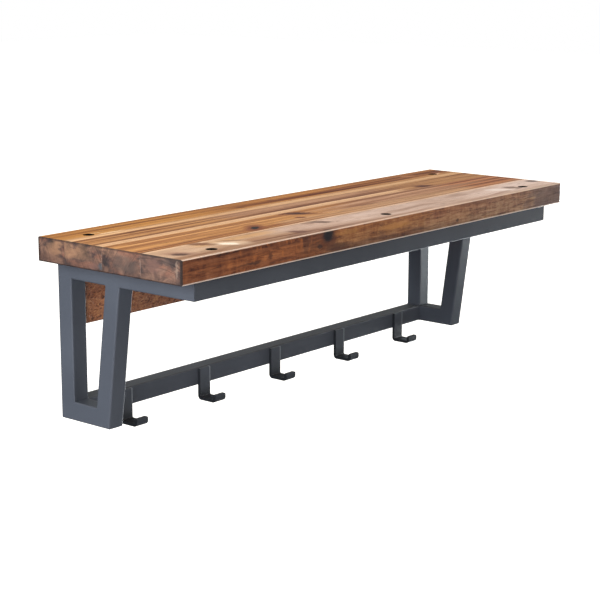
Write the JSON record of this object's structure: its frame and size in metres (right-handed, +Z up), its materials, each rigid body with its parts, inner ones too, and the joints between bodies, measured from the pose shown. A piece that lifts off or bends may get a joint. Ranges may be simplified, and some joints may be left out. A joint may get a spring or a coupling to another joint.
{
  "type": "wall shelf with coat hooks",
  "caption": "Wall-mounted entryway shelf: thick wood top on a welded square-tube frame with slanted legs, a wooden back board and a lower rail of bent strap coat hooks.",
  "frame": {"origin": "the middle of the four wall screw holes, on the wall plane", "axes": "+X along the shelf to the right as seen from the room, +Y into the wall, +Z up"},
  "size_m": [1.022, 0.3, 0.317],
  "materials": {
    "wood_golden": "satin oil, golden brown acacia",
    "wood_tan": "satin oil, tan acacia with pale sapwood at its edges",
    "wood_pale": "satin oil, pale pinkish acacia",
    "wood_red": "satin oil, reddish figured acacia",
    "coated_steel": "satin powder coat, charcoal blue-grey",
    "black_steel": "black oxide",
    "zinc": "bright zinc plating"
  },
  "bodies": {
    "root": {"top_board_back": "wood_golden", "top_board_rear_middle": "wood_tan", "top_board_front_middle": "wood_golden", "top_board_front": "wood_pale", "back_board": "wood_red", "left_back_post": "coated_steel", "left_foot": "coated_steel", "left_leg": "coated_steel", "left_top_rail": "coated_steel", "right_back_post": "coated_steel", "right_foot": "coated_steel", "right_leg": "coated_steel", "right_top_rail": "coated_steel", "front_apron": "coated_steel", "hook_rail": "coated_steel", "hook_1": "coated_steel", "hook_2": "coated_steel", "hook_3": "coated_steel", "hook_4": "coated_steel", "hook_5": "coated_steel", "front_bolts": "black_steel", "rear_bolts": "black_steel", "front_washers": "black_steel", "rear_washers": "black_steel", "front_rivet_nuts": "zinc", "rear_rivet_nuts": "zinc", "back_board_screws": "zinc"}
  },
  "joints": []
}
